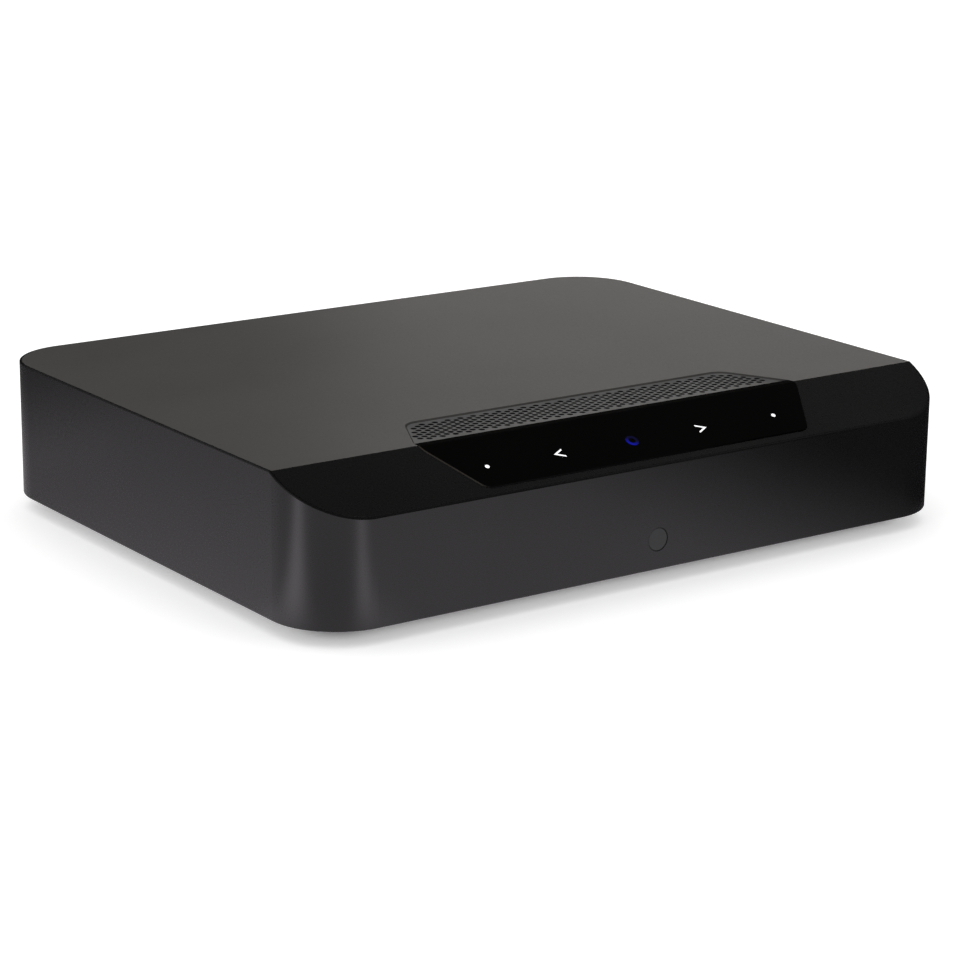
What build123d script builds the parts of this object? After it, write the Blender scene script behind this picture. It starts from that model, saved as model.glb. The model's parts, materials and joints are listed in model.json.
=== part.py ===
from build123d import *
import math
import os

os.makedirs("parts", exist_ok=True)

# A compact network music streamer with a built-in stereo amplifier. Millimetres.
# +X runs to the right along the front, +Y towards the rear, +Z up.
# The origin is below the middle of the whole object, on the surface that it stands on.

# Body
width = 219.0
body_depth = 173.0
body_height = 39.5
corner_radius = 19.5
slope_land = 1.0
slope_drop = 10.3
foot_height = 4.5
post_reach = 20.0

# Clearances shared by the pieces
fit_gap = 0.1
thread_gap = 0.05
running_gap = 0.08
overrun = 6.0

# Housing
wall = 2.5
rim = 0.6
rim_edge = 0.35
foot_rim_edge = 0.4
reveal = 0.12
skin = 2.0
deck = 1.8
crease_gap = 0.15
deck_ledge = 3.0
lip_width = 2.0
base_boss_radius = 4.0
base_boss_side = 14.5
base_boss_front = 16.0
base_boss_rear = 14.5
panel_boss_radius = 2.8
panel_boss_length = 7.0
receiver_rib = 1.4

# Recess for the grille and the touch cover
recess = 0.45
hex_back_run = 21.4
hex_back_half = 54.5
hex_wide_half = 65.3
hex_low_half = 54.7
hex_low_margin = 2.6
hex_back_radius = 6.0
hex_side_radius = 6.5
hex_low_radius = 4.0
fold_over = 2.0
cover_proud = 0.3

# Grille
mesh_thickness = 0.6
mesh_gap = 0.3
mesh_border = 0.3
mesh_front_border = 1.9
mesh_pitch_x = 2.1
mesh_pitch_y = 2.34
mesh_hole_radius = 0.88
tray_border = 3.5
tray_slot = 2.6
tray_bar = 1.6

# Touch keys and status light
icon_run = 11.1
icon_thickness = 0.08
left_dot = -50.1
left_chevron = -26.9
light_place = -2.35
right_chevron = 21.85
right_dot = 47.55
dot_radius = 0.63
chevron_width = 3.2
chevron_height = 3.2
chevron_stroke = 0.45
light_radius = 1.9
light_bore = 1.0
touch_board_half = 52.0
touch_board_thickness = 1.0
touch_board_front = 7.0
touch_board_back = 2.0
led_side = 2.0
led_height = 0.9

# Infrared window and receiver
ir_height = 8.5
ir_radius = 3.1
ir_gap = 0.2
ir_inset = 0.15
ir_flange = 1.2
ir_flange_thickness = 0.8
receiver_width = 6.0
receiver_height = 6.6
receiver_depth = 4.0
receiver_dome = 2.2
receiver_board_width = 14.0
receiver_board_height = 12.0
receiver_board_thickness = 1.0

# Base plate
base_thickness = 2.0
board_post_height = 3.5
board_post_radius = 3.0
insert_spacing_x = 120.0
insert_spacing_y = 60.0
insert_boss_radius = 4.2
insert_boss_height = 3.0
insert_radius = 2.9
thread_radius = 1.65
insert_length = 5.0
vent_width = 2.2
vent_pitch = 6.6
front_vent_count = 13
front_vent_length = 18.0
front_vent_place = 26.0
side_vent_count = 9
side_vent_length = 26.0
side_vent_place = 36.5
side_vent_start = 18.0
side_vent_margin = 3.0

# Feet
foot_radius = 9.0
foot_side = 26.0
foot_front = 26.0
foot_rear = 26.0
foot_seat = 1.0
foot_draft = 1.2
foot_edge = 0.8

# Screws
screw_shank = 1.2
screw_head = 2.5
screw_head_height = 1.6
screw_slot = 0.7
screw_edge = 0.5
base_screw_length = 12.0
panel_screw_length = 6.0

# Rear panel
panel_side = 20.0
panel_low = 3.0
panel_drop = 5.0
panel_thickness = 1.5
panel_screw_side = 4.0
panel_screw_top = 3.0
panel_screw_low = 3.2
rear_vent_count = 12
rear_vent_width = 1.8
rear_vent_height = 5.5
rear_vent_margin = 10.0

# Boards
board_thickness = 1.6
main_board_inner = 4.0
main_board_side = 21.5
power_board_inner = 6.0
power_board_side = 19.5
board_front_run = 56.5
board_rear_gap = 2.5
board_post_inset = 6.0
board_post_rear = 25.0
sheet_thickness = 0.4
sheet_margin = 2.0

# Mains inlet
inlet_width = 22.0
inlet_height = 13.0
inlet_depth = 22.0
inlet_flange = 1.5
inlet_flange_thickness = 1.2
inlet_edge = 0.4
inlet_mouth_width = 17.0
inlet_mouth_height = 8.4
inlet_mouth_depth = 13.0
pin_radius = 1.2
pin_spacing = 8.6
pin_length = 10.0
pin_root = 3.0

# Network jack
lan_width = 16.0
lan_height = 13.5
lan_depth = 21.3
lan_proud = 0.5
lan_mouth_width = 11.8
lan_mouth_height = 6.8
lan_mouth_depth = 14.0
lan_mouth_rise = 2.2
lan_latch_width = 6.2
lan_latch_height = 2.2
contact_count = 8
contact_pitch = 1.02
contact_radius = 0.2
contact_length = 11.0

# HDMI and USB sockets
hdmi_width = 15.2
hdmi_height = 6.4
hdmi_depth = 12.0
hdmi_wall = 0.5
hdmi_taper = 2.0
hdmi_tongue_width = 11.0
hdmi_tongue_height = 1.2
usb_width = 13.2
usb_height = 6.6
usb_depth = 14.5
usb_wall = 0.4
usb_tongue_width = 11.1
usb_tongue_height = 1.8
socket_proud = 0.4
socket_back = 3.0
tongue_inset = 1.0

# Audio jacks
jack_width = 9.0
jack_height = 8.0
jack_depth = 12.0
jack_barrel = 3.4
jack_bore = 1.8
jack_proud = 1.2
jack_bore_depth = 12.0
sub_width = 11.0
sub_height = 13.0
sub_depth = 11.0
sub_barrel = 4.15
sub_inner = 3.5
sub_proud = 9.0
sub_flange = 5.4
sub_flange_thickness = 0.8
sub_pin_bore = 1.65
sub_pin_depth = 7.0

# Speaker terminals
post_spacing = 19.05
post_low = 16.4
post_rise = 15.5
block_border_x = 3.4
block_border_z = 1.0
block_proud = 2.0
block_depth = 2.0
block_corner = 2.0
block_edge = 0.7
block_inset = 1.5
stud_radius = 3.0
stud_bore = 2.0
stud_bore_depth = 14.0
stud_recess = 1.0
wire_hole_radius = 1.4
low_stud_tail = 5.0
high_stud_tail = 9.0
nut_radius = 4.6
nut_thickness = 2.5
nut_sides = 6
tag_width = 6.0
tag_thickness = 0.8
washer_radius = 5.2
washer_thickness = 1.0
knob_radius = 6.0
knob_clear = 0.1
knob_mouth = 4.0
knob_mouth_depth = 3.0
knob_flutes = 12
knob_flute_radius = 0.7
knob_flute_margin = 2.5
knob_edge = 0.6

# Main board parts
shield_y = 12.0
shield_width = 42.0
shield_depth = 36.0
shield_height = 4.0
shield_corner = 1.0
cooler_margin = 2.0
cooler_base = 2.0
cooler_fin_height = 9.0
cooler_fin_thickness = 1.2
cooler_fin_count = 9
wireless_inset = 14.0
wireless_y = -22.0
wireless_width = 22.0
wireless_depth = 16.0
wireless_height = 2.6
audio_cap_radius = 2.5
audio_cap_height = 6.5
audio_cap_count = 4
audio_cap_pitch = 7.0
audio_cap_inset = 7.0
audio_cap_y = 38.0
aerial_length = 34.0
aerial_height = 10.0
aerial_thickness = 0.8
aerial_y = -34.0
aerial_z = 26.0
lead_radius = 0.8
lead_rise = 8.0
lead_front = 6.0
lead_turn = 22.0
lead_end = 11.0
arc_share = 0.45
lead_share = 0.25

# Power board parts
filter_inset = 14.0
filter_y = 28.0
choke_radius = 8.5
choke_bore = 3.5
choke_height = 11.0
film_width = 18.0
film_thickness = 8.0
film_height = 15.0
fuse_length = 20.0
fuse_radius = 2.5
fuse_cap_length = 5.0
fuse_lift = 3.0
bulk_inset = 15.0
bulk_y = -24.0
bulk_radius = 8.0
bulk_height = 22.0
bulk_pitch = 18.0
bulk_edge = 1.0
bulk_count = 2
transformer_y = -20.0
transformer_width = 28.0
transformer_depth = 24.0
transformer_height = 20.0
core_width = 9.0
winding_edge = 2.2
amplifier_y = 22.0
amplifier_side = 14.0
amplifier_height = 1.6
amplifier_cooler_width = 28.0
amplifier_cooler_depth = 24.0
inductor_side = 9.0
inductor_height = 7.0
inductor_corner = 1.6
inductor_y = 56.0

# Wires between boards and the touch ribbon
link_y = -14.0
link_plug_width = 5.0
link_plug_length = 12.0
link_plug_height = 6.0
link_inset = 5.0
link_wire_radius = 0.8
link_wire_pitch = 3.2
link_wire_count = 3
link_rise = 9.0
ribbon_x = 22.0
ribbon_width = 12.0
ribbon_thickness = 0.3
ribbon_plug_height = 2.4
ribbon_plug_depth = 4.0
ribbon_plug_run = 12.0
ribbon_level = 18.0
ribbon_radius = 8.0


def spread(start, end, widths):
    """Middles of pieces that stand side by side between two limits, with even gaps."""
    gap = (end - start - sum(widths)) / (len(widths) + 1)
    middles = []
    for wide in widths:
        start += gap
        middles.append(start + wide / 2)
        start += wide
    return middles


# Heights and stations worked out from the sizes above
front_y = -(body_depth + post_reach) / 2
rear_y = front_y + body_depth
middle_y = (front_y + rear_y) / 2
base_z = foot_height
top_z = base_z + body_height
half_width = width / 2
slope_run = corner_radius + slope_land
crease_y = front_y + slope_run
slope_rate = slope_drop / slope_run
slope_angle = math.atan(slope_rate)
floor_z = base_z + base_thickness
board_z = floor_z + board_post_height
board_top = board_z + board_thickness
board_front = front_y + board_front_run
panel_back = rear_y - panel_thickness
board_rear = panel_back - board_rear_gap
panel_low_z = base_z + panel_low
panel_high_z = top_z - panel_drop
block_y = rear_y + block_proud
post_end = rear_y + post_reach
panel_half = half_width - panel_side
opening_half = panel_half - lip_width
panel_middle = (main_board_inner - power_board_inner) / 2
socket_widths = [sub_width, jack_width, usb_width, hdmi_width, lan_width]
socket_places = spread(panel_middle + panel_boss_radius, opening_half, socket_widths)
sub_place, jack_place, usb_place, hdmi_place, lan_place = socket_places
block_width = post_spacing + 2 * (knob_radius + block_border_x)
mains_widths = [inlet_width + 2 * inlet_flange, block_width]
inlet_place, block_place = spread(-opening_half, panel_middle - panel_boss_radius, mains_widths)
post_xs = [block_place + post_spacing / 2, block_place - post_spacing / 2]
post_zs = [post_low, post_low + post_rise]
post_places = [(x, z) for z in post_zs for x in post_xs]
boss_places = [
    (side * (half_width - base_boss_side), y)
    for side in (-1, 1)
    for y in (front_y + base_boss_front, rear_y - base_boss_rear)
]
main_board_left = main_board_inner
main_board_right = half_width - main_board_side
power_board_left = power_board_side - half_width
power_board_right = -power_board_inner
shield_x = (main_board_left + main_board_right) / 2
wireless_x = main_board_right - wireless_inset
audio_cap_x = main_board_left + audio_cap_inset
filter_x = power_board_left + filter_inset
fuse_x = filter_x + 2 * choke_radius
bulk_x = power_board_left + bulk_inset
plug_edge = power_board_right - link_inset - link_plug_width / 2
transformer_x = (bulk_x + bulk_radius + plug_edge) / 2
amplifier_x = (fuse_x + fuse_radius + power_board_right) / 2
foot_places = [
    (side * (half_width - foot_side), y)
    for side in (-1, 1)
    for y in (front_y + foot_front, rear_y - foot_rear)
]
insert_places = [
    (side_x * insert_spacing_x / 2, middle_y + side_y * insert_spacing_y / 2)
    for side_x in (-1, 1)
    for side_y in (-1, 1)
]
board_post_places = [
    (x, y)
    for left, right in ((power_board_left, power_board_right), (main_board_left, main_board_right))
    for x in (left + board_post_inset, right - board_post_inset)
    for y in (board_front + board_post_inset, board_rear - board_post_rear)
]
panel_screw_places = [
    (-panel_half + panel_screw_side, panel_high_z - panel_screw_top),
    (panel_half - panel_screw_side, panel_high_z - panel_screw_top),
    (panel_middle, panel_high_z - panel_screw_top),
    (panel_middle, panel_low_z + panel_screw_low),
]


def block(x, y, z):
    """A box between two limits on each axis."""
    size = [high - low for low, high in (x, y, z)]
    middle = [(high + low) / 2 for low, high in (x, y, z)]
    return Pos(*middle) * Box(*size)


def standing(x, y, z, radius, height):
    """An upright cylinder that starts at z."""
    return Pos(x, y, z) * Cylinder(radius, height, align=(Align.CENTER, Align.CENTER, Align.MIN))


def lying(x, y, z, radius, length):
    """A cylinder along +Y that starts at y."""
    start = Location((x, y, z), (-90, 0, 0))
    return start * Cylinder(radius, length, align=(Align.CENTER, Align.CENTER, Align.MIN))


def slice_along_x(points, low, high):
    """A profile drawn in Y and Z, carried from one X to another."""
    face = Plane.YZ * make_face(Polyline(*points, close=True))
    return Pos(low, 0, 0) * extrude(face, high - low)


def body_plan(inset, low, high):
    """The body's rounded plan, drawn in by an inset, between two heights."""
    plan = RectangleRounded(width - 2 * inset, body_depth - 2 * inset, corner_radius - inset)
    return Pos(0, middle_y, low) * extrude(plan, high - low)


def slope_z(y, depth):
    """Height of the slope at a station, moved in square to its face by a depth."""
    return top_z + (y - crease_y) * slope_rate - depth / math.cos(slope_angle)


def below_skin(depth):
    """Everything under the top and slope faces when both are moved in by a depth."""
    bend_y = crease_y + depth * (1 / math.cos(slope_angle) - 1) / slope_rate
    points = [
        (front_y - overrun, slope_z(front_y - overrun, depth)),
        (bend_y, top_z - depth),
        (rear_y + overrun, top_z - depth),
        (rear_y + overrun, base_z - overrun),
        (front_y - overrun, base_z - overrun),
    ]
    return slice_along_x(points, -half_width - overrun, half_width + overrun)


def layer(plan, upper, lower):
    """The part of an upright prism between two depths under the outer faces."""
    return (plan & below_skin(upper)) - below_skin(lower)


def prism(face, low, high):
    return Pos(0, 0, low) * extrude(face, high - low)


def hex_face(inset=0):
    """The six-sided recess in plan, drawn in by an inset."""
    back = crease_y + hex_back_run
    low = front_y + hex_low_margin
    corners = [
        (-hex_back_half, back),
        (-hex_wide_half, crease_y),
        (-hex_low_half, low),
        (hex_low_half, low),
        (hex_wide_half, crease_y),
        (hex_back_half, back),
    ]
    half = [hex_back_radius, hex_side_radius, hex_low_radius]
    face = make_face(FilletPolyline(*corners, radius=half + half[::-1], close=True))
    if inset:
        face = offset(face, -inset)
    return face


def slab_y(low, high):
    """A block over the whole width and height between two stations along Y."""
    reach = half_width + overrun
    return block((-reach, reach), (low, high), (base_z - overrun, top_z + overrun))


def slope_plane(depth):
    """A plane on the slope, at the row of touch keys, moved in by a depth."""
    y = crease_y - icon_run
    normal = (0, -math.sin(slope_angle), math.cos(slope_angle))
    return Plane(origin=(0, y, slope_z(y, depth)), x_dir=(1, 0, 0), z_dir=normal)


def bosses(places, z, radius, height):
    return [standing(x, y, z, radius, height) for x, y in places]


def save(name, *solids):
    """Write one sub-part, which may be a group of separate solids."""
    pieces = [piece for shape in solids for piece in shape.solids()]
    export_step(Compound(pieces), f"parts/{name}.step")


# Casing
def soft_edged(solid):
    """Rounds the outer edges of the body, apart from the crease between top and slope."""
    top = solid.faces().sort_by(Axis.Z)[-1]
    slope = solid.faces().sort_by(Axis((0, 0, 0), (0, -math.sin(slope_angle), math.cos(slope_angle))))[-1]
    edges = [edge for face in (top, slope) for edge in face.edges() if edge.length < width]
    solid = fillet(edges, rim_edge)
    return fillet(solid.faces().sort_by(Axis.Z)[0].edges(), foot_rim_edge)


def housing_shell():
    outer = soft_edged(body_plan(0, base_z, top_z) & below_skin(0))
    pocket = body_plan(rim, base_z, top_z + overrun) - below_skin(skin)
    cavity = body_plan(wall, base_z - overrun, top_z) & below_skin(skin + deck)
    shell = outer - pocket - cavity
    shell -= prism(hex_face(deck_ledge), floor_z, top_z)
    screw_bosses = Part() + bosses(boss_places, floor_z, base_boss_radius, body_height)
    screw_bosses &= below_skin(skin + deck / 2)
    shell += screw_bosses
    pilot = screw_shank + thread_gap
    pilot_depth = base_screw_length
    shell -= bosses(boss_places, base_z, pilot, pilot_depth)
    ears = Part() + [
        lying(x, panel_back - panel_boss_length, z, panel_boss_radius, panel_boss_length)
        for x, z in panel_screw_places
    ]
    window = (panel_low_z, panel_high_z)
    inner = (panel_low_z + lip_width, panel_high_z - lip_width)
    opening = block((-opening_half, opening_half), (rear_y - wall, rear_y + overrun), inner)
    shell = shell - opening + ears
    shell -= block((-panel_half, panel_half), (panel_back, rear_y + overrun), window)
    shell -= [
        lying(x, rear_y - panel_screw_length, z, pilot, panel_screw_length)
        for x, z in panel_screw_places
    ]
    ir_z = base_z + ir_height
    shell -= lying(0, front_y - overrun, ir_z, ir_radius + ir_gap, overrun + wall + overrun)
    receiver_y = front_y + wall + ir_flange_thickness + receiver_depth
    half = receiver_board_width / 2
    for side in (-1, 1):
        inner_x = side * (half - receiver_rib)
        rib_x = sorted((inner_x, side * half))
        rib_z = (ir_z - receiver_board_height / 2, ir_z + receiver_board_height / 2)
        shell += block(rib_x, (front_y + wall / 2, receiver_y), rib_z)
    return shell


def top_panel():
    panel = layer(body_plan(rim + reveal, base_z, top_z + overrun), 0, skin)
    panel &= slab_y(crease_y + crease_gap / 2, rear_y)
    return panel - prism(hex_face(), base_z, top_z + overrun)


def sloped_bezel():
    bezel = layer(body_plan(rim + reveal, base_z, top_z + overrun), 0, skin)
    bezel &= slab_y(front_y, crease_y - crease_gap / 2)
    return bezel - prism(hex_face(), base_z, top_z + overrun)


# Touch cover and grille
def touch_cover():
    plan = prism(hex_face(fit_gap), base_z, top_z)
    return layer(plan, -cover_proud, skin) & slab_y(front_y, crease_y + fold_over)


def grille_plan(inset):
    """The grille's share of the recess, behind the touch cover."""
    part = hex_face(fit_gap + inset)
    low = crease_y + fold_over + fit_gap + inset
    high = crease_y + hex_back_run
    strip = Pos(0, (low + high) / 2) * Rectangle(2 * hex_wide_half, high - low)
    return part & strip


def mesh_grille():
    sheet = grille_plan(mesh_gap).face()
    safe = grille_plan(mesh_gap + mesh_border + mesh_hole_radius).face()
    first_y = crease_y + fold_over + mesh_front_border + mesh_hole_radius
    holes = []
    columns = math.ceil(hex_wide_half / mesh_pitch_x)
    rows = math.ceil(hex_back_run / mesh_pitch_y)
    for column in range(-columns, columns + 1):
        stagger = (column % 2) * mesh_pitch_y / 2
        for row in range(rows + 1):
            spot = Vector(column * mesh_pitch_x, crease_y + row * mesh_pitch_y + stagger)
            if spot.Y > first_y and safe.is_inside(spot):
                ring = Edge.make_circle(mesh_hole_radius, Plane(origin=spot))
                holes.append(Wire([ring]))
    low = top_z - recess - mesh_thickness
    return prism(Face(sheet.outer_wire(), holes), low, low + mesh_thickness)


def grille_tray():
    low = top_z - skin
    high = top_z - recess - mesh_thickness
    tray = prism(grille_plan(0), low, high)
    slots = prism(grille_plan(tray_border), low, high)
    pitch = tray_slot + tray_bar
    count = math.ceil(hex_wide_half / pitch)
    reach = (crease_y, crease_y + hex_back_run)
    for index in range(-count, count + 1):
        middle = index * pitch
        slot = block((middle - tray_slot / 2, middle + tray_slot / 2), reach, (low, high))
        tray -= slots & slot
    return tray


def chevron(tip):
    """An open arrowhead that points along X, to the side that tip names."""
    half = chevron_height / 2
    angle = math.atan2(half, chevron_width)
    back = chevron_stroke / math.sin(angle)
    drop = chevron_stroke / math.cos(angle)
    near = -chevron_width / 2
    far = chevron_width / 2
    outer = [(near, half), (far, 0), (near, -half)]
    inner = [(near, -half + drop), (far - back, 0), (near, half - drop)]
    return make_face(Polyline(*[(tip * x, y) for x, y in outer + inner], close=True))


def touch_icons():
    marks = [Pos(x, 0) * Circle(dot_radius) for x in (left_dot, right_dot)]
    marks += [Pos(left_chevron, 0) * chevron(-1), Pos(right_chevron, 0) * chevron(1)]
    return [extrude(slope_plane(-cover_proud) * mark, icon_thickness) for mark in marks]


def status_light_ring():
    ring = Pos(light_place, 0) * (Circle(light_radius) - Circle(light_bore))
    return extrude(slope_plane(-cover_proud) * ring, icon_thickness)


def touch_board():
    reach = (front_y + touch_board_front, crease_y - touch_board_back)
    plan = block((-touch_board_half, touch_board_half), reach, (base_z, top_z))
    return layer(plan, skin, skin + touch_board_thickness)


def touch_lights():
    face = slope_plane(skin + touch_board_thickness)
    places = (left_dot, left_chevron, light_place, right_chevron, right_dot)
    return [extrude(face * Pos(x, 0) * Rectangle(led_side, led_side), -led_height) for x in places]


# Infrared window and receiver
def ir_window():
    z = base_z + ir_height
    lens = lying(0, front_y + ir_inset, z, ir_radius, wall - ir_inset)
    return lens + lying(0, front_y + wall, z, ir_radius + ir_flange, ir_flange_thickness)


def ir_receiver():
    z = base_z + ir_height
    front = front_y + wall + ir_flange_thickness
    dome_top = front + receiver_dome
    case = block(
        (-receiver_width / 2, receiver_width / 2),
        (dome_top, front + receiver_depth),
        (z - receiver_height / 2, z + receiver_height / 2),
    )
    dome = Pos(0, dome_top, z) * Sphere(receiver_dome)
    return case + (dome & slab_y(front, dome_top + fit_gap))


def ir_board():
    z = base_z + ir_height
    y = front_y + wall + ir_flange_thickness + receiver_depth
    half = receiver_board_width / 2
    tall = receiver_board_height / 2
    return block((-half, half), (y, y + receiver_board_thickness), (z - tall, z + tall))


# Screws
def cross_screw(length):
    """A pan-head screw that points down from the underside of its head at z = 0."""
    head = standing(0, 0, 0, screw_head, screw_head_height)
    head = fillet(head.faces().sort_by(Axis.Z)[-1].edges(), screw_edge)
    body = head + standing(0, 0, -length, screw_shank, length + thread_gap)
    reach = screw_head - screw_slot
    cut = Box(2 * reach, screw_slot, screw_head_height) + Box(screw_slot, 2 * reach, screw_head_height)
    return body - Pos(0, 0, screw_head_height) * cut


def base_screws():
    under = Location((0, 0, base_z + screw_head_height + fit_gap), (180, 0, 0))
    screw = cross_screw(base_screw_length - screw_head_height - 2 * fit_gap)
    return [Pos(x, y, 0) * under * screw for x, y in boss_places]


def board_screws():
    screw = cross_screw(board_thickness + board_post_height - fit_gap)
    return [Pos(x, y, board_top) * screw for x, y in board_post_places]


def rear_panel_screws():
    screw = cross_screw(panel_screw_length - fit_gap)
    return [Location((x, rear_y, z), (-90, 0, 0)) * screw for x, z in panel_screw_places]


# Base
def vent_slot(x, y, length):
    slot = SlotOverall(length, vent_width, rotation=90)
    return Pos(x, y, base_z - overrun) * extrude(slot, 2 * overrun + base_thickness)


def base_plate():
    plate = body_plan(wall + fit_gap, base_z, floor_z)
    plate += bosses(board_post_places, floor_z, board_post_radius, board_post_height)
    plate += bosses(insert_places, floor_z, insert_boss_radius, insert_boss_height)
    plate -= bosses(board_post_places, floor_z, screw_shank + thread_gap, board_post_height)
    plate -= bosses(insert_places, base_z, insert_radius, insert_length)
    plate -= bosses(foot_places, base_z, foot_radius + fit_gap, foot_seat)
    plate -= bosses(boss_places, base_z, screw_head + fit_gap, screw_head_height + fit_gap)
    plate -= bosses(boss_places, base_z, screw_shank + fit_gap, base_thickness)
    for index in range(front_vent_count):
        x = (index - (front_vent_count - 1) / 2) * vent_pitch
        plate -= vent_slot(x, front_y + front_vent_place, front_vent_length)
    side_vent_end = half_width - foot_side - foot_radius - side_vent_margin
    for index in range(side_vent_count):
        x = side_vent_start + index * (side_vent_end - side_vent_start) / (side_vent_count - 1)
        plate -= vent_slot(x, rear_y - side_vent_place, side_vent_length)
    return plate


def rubber_feet():
    height = foot_height + foot_seat
    bottom = (Align.CENTER, Align.CENTER, Align.MIN)
    foot = Cone(foot_radius - foot_draft, foot_radius, foot_height, align=bottom)
    foot += standing(0, 0, foot_height, foot_radius, height - foot_height)
    foot = fillet(foot.faces().sort_by(Axis.Z)[0].edges(), foot_edge)
    return [Pos(x, y, 0) * foot for x, y in foot_places]


def wall_mount_inserts():
    sleeve = standing(0, 0, base_z, insert_radius, insert_length)
    sleeve -= standing(0, 0, base_z, thread_radius, insert_length)
    return [Pos(x, y, 0) * sleeve for x, y in insert_places]


def insulation_sheet():
    x = (power_board_left + sheet_margin, power_board_right - sheet_margin)
    y = (board_front + sheet_margin, board_rear - sheet_margin)
    sheet = block(x, y, (floor_z, floor_z + sheet_thickness))
    sheet -= bosses(board_post_places, floor_z, board_post_radius + fit_gap, sheet_thickness)
    return sheet - bosses(insert_places, floor_z, insert_boss_radius + fit_gap, sheet_thickness)


# Rear panel and its connectors
def rear_panel():
    half = panel_half - fit_gap
    low = panel_low_z + fit_gap
    high = panel_high_z - fit_gap
    panel = block((-half, half), (panel_back, rear_y), (low, high))
    panel = fillet(panel.edges().filter_by(Axis.Y), fit_gap)
    depth = panel_thickness
    panel -= [lying(x, panel_back, z, screw_shank + fit_gap, depth) for x, z in panel_screw_places]
    cut = fit_gap
    panel -= seat(inlet_place, inlet_width, inlet_height, board_top, cut)
    panel -= seat(lan_place, lan_width, lan_height, board_top, cut)
    panel -= seat(hdmi_place, hdmi_width, hdmi_height, board_top, cut)
    panel -= seat(usb_place, usb_width, usb_height, board_top, cut)
    panel -= lying(jack_place, panel_back, board_top + jack_height / 2, jack_barrel + cut, depth)
    panel -= lying(sub_place, panel_back, board_top + sub_height / 2, sub_barrel + cut, depth)
    x, z = block_limits(-block_inset, -block_inset)
    panel -= block((x[0] - cut, x[1] + cut), (panel_back, rear_y), (z[0] - cut, z[1] + cut))
    top = panel_high_z - panel_screw_top
    first = panel_middle + rear_vent_margin
    last = panel_half - panel_screw_side - rear_vent_margin
    for index in range(rear_vent_count):
        x = first + index * (last - first) / (rear_vent_count - 1)
        slot = SlotOverall(rear_vent_height, rear_vent_width, rotation=90)
        panel -= Location((x, rear_y + overrun, top), (90, 0, 0)) * extrude(slot, overrun + wall)
    return panel


def seat(place, wide, tall, low, gap):
    """A rectangular cut through the rear panel around a connector."""
    x = (place - wide / 2 - gap, place + wide / 2 + gap)
    return block(x, (panel_back, rear_y), (low - gap, low + tall + gap))


def stadium(place, z, wide, tall, low, high):
    """A bar along Y with round ends in X."""
    shape = SlotOverall(wide, tall)
    return Location((place, high, z), (90, 0, 0)) * extrude(shape, high - low)


def mains_inlet():
    z = board_top + inlet_height / 2
    half = inlet_width / 2
    face_y = rear_y + inlet_flange_thickness
    body = block(
        (inlet_place - half, inlet_place + half),
        (face_y - inlet_depth, rear_y),
        (board_top, board_top + inlet_height),
    )
    flange_half = half + inlet_flange
    tall = inlet_height / 2 + inlet_flange
    flange = block(
        (inlet_place - flange_half, inlet_place + flange_half),
        (rear_y, face_y),
        (z - tall, z + tall),
    )
    flange = fillet(flange.edges().filter_by(Axis.Y), inlet_flange)
    body += chamfer(flange.faces().sort_by(Axis.Y)[-1].edges(), inlet_edge)
    body -= stadium(
        inlet_place, z, inlet_mouth_width, inlet_mouth_height, face_y - inlet_mouth_depth, face_y
    )
    deep = face_y - inlet_mouth_depth - pin_root
    for side in (-1, 1):
        x = inlet_place + side * pin_spacing / 2
        body -= lying(x, deep, z, pin_radius, pin_root)
    return body


def mains_pins():
    z = board_top + inlet_height / 2
    deep = rear_y + inlet_flange_thickness - inlet_mouth_depth - pin_root
    pins = []
    for side in (-1, 1):
        x = inlet_place + side * pin_spacing / 2
        pin = lying(x, deep, z, pin_radius, pin_root + pin_length)
        pins.append(fillet(pin.faces().sort_by(Axis.Y)[-1].edges(), pin_radius / 2))
    return pins


def ethernet_jack():
    half = lan_width / 2
    face_y = rear_y + lan_proud
    body = block(
        (lan_place - half, lan_place + half),
        (face_y - lan_depth, face_y),
        (board_top, board_top + lan_height),
    )
    low = board_top + lan_mouth_rise
    high = low + lan_mouth_height
    mouth = block(
        (lan_place - lan_mouth_width / 2, lan_place + lan_mouth_width / 2),
        (face_y - lan_mouth_depth, face_y),
        (low, high),
    )
    latch = block(
        (lan_place - lan_latch_width / 2, lan_place + lan_latch_width / 2),
        (face_y - lan_mouth_depth, face_y),
        (high, high + lan_latch_height),
    )
    return body - mouth - latch


def ethernet_contacts():
    back = rear_y + lan_proud - lan_mouth_depth
    z = board_top + lan_mouth_rise + contact_radius
    rods = []
    for index in range(contact_count):
        x = lan_place + (index - (contact_count - 1) / 2) * contact_pitch
        rods.append(lying(x, back, z, contact_radius, contact_length))
    return rods


def metal_socket(place, wide, tall, deep, sheet, taper):
    """A pressed metal shell around an open mouth, with a closed back."""
    face_y = rear_y + socket_proud
    low = board_top

    def outline(inset):
        half = wide / 2 - inset
        bottom = low + inset
        shoulder = low + taper + inset / 2
        top = low + tall - inset
        points = [(half, top), (half, shoulder), (half - taper, bottom), (-half + taper, bottom)]
        points += [(-half, shoulder), (-half, top)]
        if not taper:
            points = [(half, top), (half, bottom), (-half, bottom), (-half, top)]
        return make_face(Polyline(*[(place + x, -z) for x, z in points], close=True))

    turn = Location((0, 0, 0), (-90, 0, 0))
    outer = Pos(0, face_y - deep, 0) * turn * extrude(outline(0), deep)
    inner = Pos(0, face_y - deep + socket_back, 0) * turn * extrude(outline(sheet), deep - socket_back)
    return outer - inner


def socket_tongue(place, wide, tall, deep, z):
    face_y = rear_y + socket_proud
    half = wide / 2
    y = (face_y - deep + socket_back, face_y - tongue_inset)
    return block((place - half, place + half), y, (z - tall / 2, z + tall / 2))


def hdmi_socket():
    return metal_socket(hdmi_place, hdmi_width, hdmi_height, hdmi_depth, hdmi_wall, hdmi_taper)


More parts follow.
